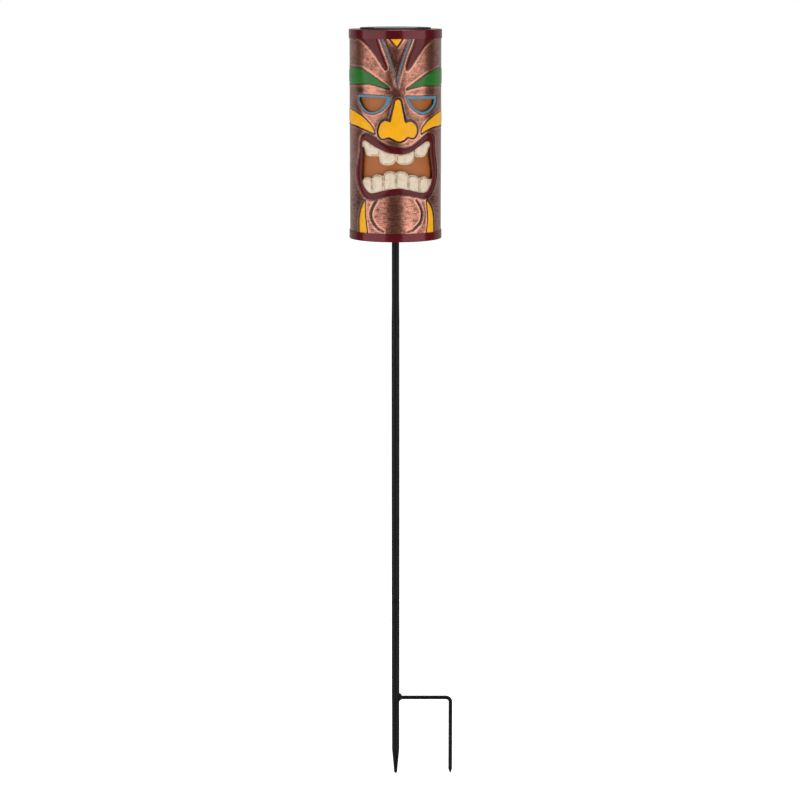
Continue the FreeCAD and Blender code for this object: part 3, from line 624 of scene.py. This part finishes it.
def face_fields(spots):
    """Lift of the sheet in millimetres, and what its finish needs, at each spot."""
    across, up = spots.T
    nose = signed(spots, NOSE)
    cheeks = lowest(spots, CHEEKS)
    bars = lowest(spots, BARS)
    triangle = signed(spots, TRIANGLE)
    yellow = np.minimum.reduce([nose, cheeks, bars, triangle])
    maroon = lowest(spots, SPIKES)
    green = lowest(spots, BROWS)
    panels = np.minimum.reduce([yellow, maroon, green])
    lines = np.min([stroke(spots, line, FOREHEAD_WIDTHS) for line in FOREHEAD_LINES], axis=0)
    chin = np.min([stroke(spots, line, CHIN_WIDTHS) for line in CHIN_LINES], axis=0)
    ring = lowest(spots, EYE_RINGS)
    hole = lowest(spots, EYE_HOLES)
    lip_out = signed(spots, LIP_OUTSIDE)
    lip_in = signed(spots, LIP_INSIDE)
    teeth = lowest(spots, TEETH)
    lip = np.maximum(lip_out, -lip_in)
    cream = np.maximum(teeth - TOOTH_RIM - 0.2, lip_in)

    # Raised panels, each with a pressed groove round it and a bead beyond the groove.
    lift = 0.40 * ease(-panels, 0.0, 1.1) + 0.14 * ease(-panels, 1.0, 6.0)
    lift += 0.16 * ease(-nose, 2.0, 9.0)
    lift -= 0.60 * bell(panels, 0.35, 0.62)
    lift += 0.40 * bell(panels, 2.1, 0.85)
    # Pressed lines with a bead along each side, and the bulging chin.
    lift += -0.50 * bell(lines, -0.5, 0.9) + 0.50 * bell(lines, 1.5, 0.8)
    lift -= 0.75 * bell(chin, -0.6, 0.95)
    lift += 0.35 * bell(chin, 1.5, 0.9)
    from_chin = np.hypot(across - CHIN_CENTRE[0], up - CHIN_CENTRE[1])
    lift += 0.42 * np.clip(1 - (from_chin / CHIN_R) ** 2, 0, 1) * ease(lip_out, 0.0, 4.0)
    # The ridge over the eyes, and the eyes set back inside their rings.
    brow_bone = ease(np.abs(across - 3), 8, 16) * ease(-np.abs(across), -72, -55)
    lift += 0.34 * bell(up, 176.3, 3.6) * brow_bone
    lift += 0.30 * bell(ring, 1.6, 0.9) - 0.45 * bell(ring, 0.3, 0.55)
    lift -= (0.35 + 0.25 * ease(-ring, 0.0, 3.0)) * ease(-ring, -0.2, 0.4)
    # Rounded lips, with a groove and a bead round them.
    depth = np.minimum(-lip_out, lip_in)
    round_lip = 0.76 * (1 - (1 - np.clip(depth / 2.7, 0, 1)) ** 2)
    inside_lip = ease(-lip, -0.1, 0.3)
    lift = lift * (1 - inside_lip) + round_lip * inside_lip
    lift -= 0.60 * bell(lip_out, 0.45, 0.65)
    lift += 0.36 * bell(lip_out, 2.2, 0.9)
    # Domed teeth in a recessed mouth.
    dome = -1.35 + 1.85 * (1 - np.exp(-np.maximum(-teeth, 0) / 1.5))
    gum = 1 - ease(-lip_in, 1.5, 9.0)
    dome += 0.8 * gum * np.maximum(0.25 - dome, 0) * (teeth < TOOTH_RIM)
    dome -= 0.75 * np.exp(-np.maximum(-lip_in, 0) / 1.1)
    in_mouth = ease(-lip_in, -0.05, 0.25)
    lift = lift * (1 - in_mouth) + dome * in_mouth
    # The sunken wedge between the forehead lines.
    wedge = ease(-lines, -9.0, -1.5) * (across > np.interp(up, WEDGE_UP, WEDGE_LEFT))
    wedge = wedge * (across < np.interp(up, WEDGE_UP, WEDGE_RIGHT)) * (up > WEDGE_UP[0])
    lift -= 0.30 * wedge * (panels > 0)
    # The lap at the back, with its dimples.
    seam = HALF_TURN - np.abs(across)
    from_lap = seam * np.sign(across) + SEAM_LAP / 2
    lift += 0.32 * ((across < 0) & (seam < SEAM_LAP))
    for dimple in DIMPLES:
        lift -= 0.30 * np.exp(-(from_lap ** 2 + (up - dimple) ** 2) / 2.6)
    lift = np.clip(lift, DEEPEST, BAND_R - RELIEF_R - 0.05)

    # How much patina stays in each place.
    hollow = 0.55 * bell(panels, 1.0, 1.1) * (panels > 0)
    hollow = np.maximum(hollow, 0.75 * bell(lip_out, 0.9, 1.3) * (lip_out > 0))
    hollow = np.maximum(hollow, 0.6 * bell(ring, 0.6, 0.8) * (ring > 0))
    hollow = np.maximum(hollow, 0.5 * bell(lines, 0.5, 0.5) * (lines > 0))
    hollow = np.maximum(hollow, 0.62 * wedge)
    hollow = np.maximum(hollow, 0.8 * bell(across, -45.5, 5) * bell(up, 176.5, 4))
    hollow = np.maximum(hollow, 0.58 * bell(nose, 3.4, 4.2) * (nose > 0) * ease(up, 122, 132))
    hollow = np.maximum(hollow, 0.5 * bell(chin, 0.2, 0.8))
    hollow = np.maximum(hollow, 0.9 * bell(seam, SEAM_LAP, 0.5) * (across < 0))
    # How far each place is rubbed bright, with painted highlights added in.
    ridge = np.maximum.reduce([
        bell(panels, 2.6, 0.9), bell(lines, 1.6, 0.8), bell(chin, 1.9, 1.0),
        0.8 * bell(ring, 1.9, 0.8), 0.7 * bell(lip_out, 2.9, 1.0),
    ])
    # Painted highlights: a vertical streak on the right of the chin, and a spot on the fold between
    # the left brow and eye.
    painted_highlight = 0.45 * bell(across, 17.5, 4.5) * ease(CHIN_R * 0.85 - from_chin, 0, 6)
    painted_highlight = np.maximum(painted_highlight, 0.55 * bell(across, -27, 9) * bell(up, 176, 4))
    ridge = np.maximum(ridge * (1 - 0.85 * wedge), painted_highlight)
    # The ink runs a little past the edge of each shape.
    ink = np.minimum.reduce([
        nose - 2.1 - 1.3 * bell(up, 144, 7), cheeks - 1.85, bars - 2.3, green - 0.95,
        maroon - 0.8, ring - 0.65, triangle - 0.8, lines - 0.3, chin,
        lip_out - np.interp(across, (-50, 50), (0.6, 1.5)),
    ])
    maroon = np.minimum(maroon, lip)
    blue = np.minimum(np.maximum(ring, -hole - 0.6), lines)
    # The teeth layer, eased off near the lips, sets the painted shade at the teeth's edges.
    fields = {
        "arc": across, "rise": up, "hollow": hollow, "ridge": ridge, "yellow": yellow,
        "maroon": maroon, "green": green, "blue": blue, "cream": cream,
        "teeth": teeth - 1.6 * gum, "gaps": teeth, "ink": ink, "sheet": openings(spots),
    }
    return lift, fields


# ------------------------------------------------------------------ mesh tools

def grid_lines(stretches):
    """Positions along a line: each stretch is (start, end, spacing)."""
    places = []
    for start, end, spacing in stretches:
        count = max(1, round((end - start) / spacing))
        places.extend(np.linspace(start, end, count, endpoint=False))
    return np.array(places)


def cut_sheet(columns, rows, gap):
    """Cells of a closed belt of columns, cut where the gap is negative: (spots, faces)."""
    n, m = len(columns), len(rows)
    grid = np.array([(x, y) for x in columns for y in rows])
    level = gap(grid)
    spots = list(grid)
    cuts = {}
    index = {}

    def vertex(i):
        if i not in index:
            index[i] = len(index)
        return index[i]

    def crossing(a, b):
        key = (min(a, b), max(a, b))
        if key not in cuts:
            first, second = grid[key[0]].copy(), grid[key[1]].copy()
            if abs(second[0] - first[0]) > HALF_TURN:
                second[0] += 2 * HALF_TURN * np.sign(first[0] - second[0])
            t = level[key[0]] / (level[key[0]] - level[key[1]])
            spots.append(first + (second - first) * min(max(t, 0.12), 0.88))
            cuts[key] = len(spots) - 1
        return cuts[key]

    faces = []
    for i in range(n):
        for j in range(m - 1):
            k = ((i + 1) % n) * m
            corners = [i * m + j, k + j, k + j + 1, i * m + j + 1]
            kept = [level[c] > 0 for c in corners]
            if not any(kept):
                continue
            ring = []
            for c in range(4):
                d = (c + 1) % 4
                if kept[c]:
                    ring.append(vertex(corners[c]))
                if kept[c] != kept[d]:
                    ring.append(vertex(crossing(corners[c], corners[d])))
            faces.append(ring)
    order = sorted(index, key=index.get)
    return np.array([spots[i] for i in order]), faces


def thicken(outer, inner, faces):
    """A closed shell from two matching layers of points: (points, faces)."""
    count = len(outer)
    edges = {}    # keeps the order that the faces give, and each edge once
    for face in faces:
        for edge in zip(face, face[1:] + face[:1]):
            edges[edge] = True
    walls = [(b, a, a + count, b + count) for a, b in edges if (b, a) not in edges]
    back = [tuple(i + count for i in reversed(face)) for face in faces]
    return np.vstack([outer, inner]), [tuple(face) for face in faces] + back + walls


def rolled(spots, radius):
    """Bends flat (arc, height) spots round the lantern, in metres."""
    angle = spots[:, 0] / BODY_R
    height = spots[:, 1] + PAN_Z
    return np.column_stack([radius * np.sin(angle), -radius * np.cos(angle), height]) * MM


def new_piece(name, points, faces, material):
    """Makes a smooth mesh object and gives it its finish."""
    mesh = bpy.data.meshes.new(name)
    mesh.from_pydata([tuple(point) for point in points], [], faces)
    mesh.validate()
    mesh.materials.append(material)
    mesh.polygons.foreach_set("use_smooth", [True] * len(mesh.polygons))
    mesh.update()
    piece = bpy.data.objects.new(name, mesh)
    bpy.context.scene.collection.objects.link(piece)
    return piece


# ------------------------------------------------------------------ add-on

class TorchSizes(bpy.types.PropertyGroup):
    """How finely the lantern's sheet is meshed."""

    fine_mm: FloatProperty(
        name="Fine grid", description="Spacing of the sheet's mesh over the face, in millimetres",
        default=0.98, min=0.5, max=3.0,
    )


FACE_SIDE = 64.0          # arc length over which the fine grid runs, each way
SIDE_GRID = ((FACE_SIDE, 118, 1.6), (118, 154, 4.0), (154, HALF_TURN, 1.35))
ROW_STRETCH = 1.22        # rows are this much further apart than columns

# The stage is in metres and degrees.
FLOOR_RINGS = (0.05, 0.3, 1.2, 3.5, 9.0)
FLOOR_SIDES = 96
FLOOR_DROP = 0.0005       # keeps the tips off the floor's surface
BOX_DISTANCE = 2.0
BOX_HEIGHT = 3.2
BOX_MIDDLE = 0.45
LEFT_BOX = (-55.5, 31.5)  # azimuth from the front, and half the angle it fills
RIGHT_BOX = (48, 30)
RIGHT_SHARE = 1.1         # the right box is this much brighter
TOP_BOX_SIDE = 0.5
TOP_BOX_PLACE = (0.0, -0.05, BAND_HIGH.z + 1.1)
CAMERA_PLACE = (0.0054, -2.8795, BAND_HIGH.z + 0.0685)
CAMERA_PITCH = 10.07      # downwards
SENSOR_MM = 36.0
LENS_MM = 109.06


class TorchLight(bpy.types.PropertyGroup):
    """The studio round the torch."""

    box_glow: FloatProperty(
        name="Soft boxes", description="Radiance of the two soft boxes", default=1.35, min=0.0,
    )
    front_glow: FloatProperty(
        name="Front", description="Radiance of the room in front of the torch",
        default=0.05, min=0.0,
    )
    back_glow: FloatProperty(
        name="Back", description="Radiance of the backdrop behind the torch",
        default=0.40, min=0.0,
    )
    top_glow: FloatProperty(
        name="Top", description="Radiance of the small soft box overhead", default=16.0, min=0.0,
    )
    floor: FloatVectorProperty(
        name="Floor", description="Colour of the floor", subtype="COLOR",
        default=(0.86, 0.86, 0.86), min=0.0, max=1.0,
    )


class TORCH_OT_face(bpy.types.Operator):
    """Build the embossed, enamelled face sheet"""

    bl_idname = "torch.face"
    bl_label = "Face sheet"

    def execute(self, context):
        fine = context.scene.torch_sizes.fine_mm
        right = grid_lines([(0, FACE_SIDE, fine), *SIDE_GRID])
        columns = np.concatenate([[-HALF_TURN], -right[:0:-1], right])
        low = SHELL_LOW.z / MM - PAN_Z
        high = SHELL_HIGH.z / MM - PAN_Z
        rows = np.linspace(low, high, round((high - low) / (fine * ROW_STRETCH)) + 1)
        spots, faces = cut_sheet(columns, rows, openings)
        lift, fields = face_fields(spots)
        outer = rolled(spots, RELIEF_R + lift)
        inner = rolled(spots, RELIEF_R + lift - SHEET)
        points, faces = thicken(outer, inner, faces)
        piece = new_piece("face_sheet", points, faces, face_enamel())
        for name, values in fields.items():
            layer = piece.data.attributes.new(name, "FLOAT", "POINT")
            layer.data.foreach_set("value", np.concatenate([values, values]).astype(np.float32))
        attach(piece, "lantern")
        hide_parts("face_shell")
        return {"FINISHED"}


def dress(material, *names):
    """Gives CAD nodes a finish."""
    for name in names:
        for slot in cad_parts[name].material_slots:
            slot.material = material


class TORCH_OT_bands(bpy.types.Operator):
    """Finish the enamelled cap ring and pan and the amber sleeve"""

    bl_idname = "torch.bands"
    bl_label = "Bands and sleeve"

    def execute(self, context):
        dress(gloss_enamel("maroon_enamel", MAROON), "top_band", "bottom_pan")
        dress(amber_film(), "diffuser")
        return {"FINISHED"}


class TORCH_OT_stake(bpy.types.Operator):
    """Finish the stake, its step leg and the lantern's socket"""

    bl_idname = "torch.stake"
    bl_label = "Stake"

    def execute(self, context):
        dress(powder_coat(),
              "stake_lower", "stake_upper", "step_leg", "weld_bead", "socket_ferrule")
        dress(plated("zinc_plate", (0.62, 0.61, 0.58), 0.32),
              "socket_rivets", "housing_screws", "door_pin")
        return {"FINISHED"}


# Arguments of moulded() for each plastic of the module, and the CAD nodes that have it.
MOULDED = (
    (("module_black", (0.015, 0.015, 0.016), 0.42),
     ("module_bezel", "module_housing", "battery_door", "switch_slider")),
    (("black_foam", (0.02, 0.02, 0.02), 0.8, 0.8, 0.5), ("module_gasket",)),
    (("seal_rubber", (0.015, 0.015, 0.015), 0.6, 0.8, 0.2), ("housing_seal",)),
    (("panel_board", (0.006, 0.006, 0.007), 0.5), ("panel_base", "switch_body", "board_parts")),
    (("board_green", (0.012, 0.11, 0.045), 0.3), ("circuit_board",)),
    (("battery_sleeve", (0.02, 0.16, 0.07), 0.25), ("battery",)),
    (("lead_insulation", (0.35, 0.01, 0.01), 0.35), ("battery_leads", "panel_leads")),
    (("amber_epoxy", (0.8, 0.35, 0.05), 0.15), ("flicker_leds",)),
    (("frosted_lens", (0.8, 0.78, 0.7), 0.5), ("light_lens",)),
)


class TORCH_OT_module(bpy.types.Operator):
    """Finish the solar module and what it holds"""

    bl_idname = "torch.module"
    bl_label = "Solar module"

    def execute(self, context):
        for finish, nodes in MOULDED:
            dress(moulded(*finish), *nodes)
        dress(solar_silicon(), "solar_cells")
        dress(clear_resin(), "panel_cover")
        dress(plated("nickel_plate", (0.7, 0.67, 0.6), 0.25), "battery_spring", "contact_plates")
        return {"FINISHED"}


class TORCH_OT_stage(bpy.types.Operator):
    """Set the floor, the lights and the camera"""

    bl_idname = "torch.stage"
    bl_label = "Stage"

    def execute(self, context):
        light = context.scene.torch_light
        context.scene.view_settings.view_transform = "Standard"
        self.floor(CAD_BOX[0][2] - FLOOR_DROP, tuple(light.floor))
        self.soft_box("left_box", *LEFT_BOX, light.box_glow)
        self.soft_box("right_box", *RIGHT_BOX, light.box_glow * RIGHT_SHARE)
        self.top_box(light.top_glow)
        self.surroundings(light.front_glow, light.back_glow)
        self.camera()
        return {"FINISHED"}

    def floor(self, height, tint):
        """A pale round floor, bright enough to merge with the backdrop."""
        points = [(0.0, 0.0, height)]
        sides = FLOOR_SIDES
        for radius in FLOOR_RINGS:
            for i in range(sides):
                angle = 2 * math.pi * i / sides
                points.append((radius * math.cos(angle), radius * math.sin(angle), height))
        faces = [(0, 1 + i, 1 + (i + 1) % sides) for i in range(sides)]
        for ring in range(len(FLOOR_RINGS) - 1):
            start = 1 + ring * sides
            for i in range(sides):
                k = (i + 1) % sides
                faces.append((start + i, start + sides + i, start + sides + k, start + k))
        paper = new_finish("studio_paper")
        grain = paper.noise(paper.place(), 0.02, 3.0, 0.5)
        material = paper.surface({
            "Base Color": paper.mix(grain, tint, darker(tint, 0.985)),
            "Roughness": 0.9, "Specular IOR Level": 0.1,
            "Emission Color": (1.0, 1.0, 1.0), "Emission Strength": 0.88,
        })
        floor = new_piece("studio_floor", points, faces, material)
        floor.visible_glossy = False

    def area_light(self, name, width, height, glow):
        """An area light of even glow that the camera doesn't see."""
        lamp = bpy.data.lights.new(name, "AREA")
        lamp.shape = "RECTANGLE"
        lamp.size, lamp.size_y = width, height
        lamp.energy = glow * math.pi * width * height
        box = bpy.data.objects.new(name, lamp)
        box.visible_camera = False
        bpy.context.scene.collection.objects.link(box)
        return box

    def soft_box(self, name, azimuth, half_angle, glow):
        """An upright light that fills some degrees of the view from the lantern."""
        width = 2 * BOX_DISTANCE * math.tan(math.radians(half_angle))
        box = self.area_light(name, width, BOX_HEIGHT, glow)
        angle = math.radians(azimuth)
        toward = Vector((math.sin(angle), -math.cos(angle), 0.0))
        box.location = toward * BOX_DISTANCE + Vector((0, 0, BOX_MIDDLE))
        box.rotation_euler = (-toward).to_track_quat("-Z", "Y").to_euler()

    def top_box(self, glow):
        """A small light almost straight overhead, for the glints along the upper rims."""
        box = self.area_light("top_box", TOP_BOX_SIDE, TOP_BOX_SIDE, glow)
        box.location = TOP_BOX_PLACE

    def surroundings(self, front, back):
        """A white backdrop to look at; what it lights with is dim in front and pale behind."""
        sky = Finish(bpy.data.worlds.new("studio"))
        direction = sky.add("ShaderNodeTexCoord", output="Generated")
        depth = sky.add("ShaderNodeSeparateXYZ", {}, {"Vector": direction}, "Y")
        height = sky.add("ShaderNodeSeparateXYZ", {}, {"Vector": direction}, "Z")
        glow = depth.step(0.28, 0.52, front, back).greater(height.step(0.55, 0.85, 0.0, back * 0.6))
        seen = sky.add("ShaderNodeLightPath", {}, {}, "Is Camera Ray")
        strength = glow * (1.0 - seen) + seen
        white = (1.0, 1.0, 1.0, 1.0)
        shader = sky.add("ShaderNodeBackground", {}, {"Color": white, "Strength": strength})
        sky.add("ShaderNodeOutputWorld", {}, {"Surface": shader})
        bpy.context.scene.world = sky.owner

    def camera(self):
        """A long lens in front of the lantern and a little above it, tilted down."""
        lens = bpy.data.cameras.new("camera")
        lens.sensor_width = SENSOR_MM
        lens.lens = LENS_MM
        camera = bpy.data.objects.new("camera", lens)
        camera.location = CAMERA_PLACE
        camera.rotation_euler = (math.radians(90 - CAMERA_PITCH), 0, 0)
        bpy.context.scene.collection.objects.link(camera)
        bpy.context.scene.camera = camera


class TORCH_PT_panel(bpy.types.Panel):
    """Lists the torch's pieces"""

    bl_idname = "TORCH_PT_panel"
    bl_label = "Tiki Torch"
    bl_space_type = "VIEW_3D"
    bl_region_type = "UI"
    bl_category = "Tiki Torch"

    def draw(self, context):
        self.layout.prop(context.scene.torch_sizes, "fine_mm")
        for name in ("box_glow", "front_glow", "back_glow", "top_glow", "floor"):
            self.layout.prop(context.scene.torch_light, name)
        for operator in OPERATORS:
            self.layout.operator(operator.bl_idname)


OPERATORS = (TORCH_OT_face, TORCH_OT_bands, TORCH_OT_stake, TORCH_OT_module, TORCH_OT_stage)
CLASSES = (TorchSizes, TorchLight, *OPERATORS, TORCH_PT_panel)


def register():
    for cls in CLASSES:
        bpy.utils.register_class(cls)
    bpy.types.Scene.torch_sizes = PointerProperty(type=TorchSizes)
    bpy.types.Scene.torch_light = PointerProperty(type=TorchLight)


def unregister():
    del bpy.types.Scene.torch_light
    del bpy.types.Scene.torch_sizes
    for cls in reversed(CLASSES):
        bpy.utils.unregister_class(cls)


def main():
    register()
    for operator in OPERATORS:
        group, name = operator.bl_idname.split(".")
        getattr(getattr(bpy.ops, group), name)()


if __name__ == "__main__":
    main()
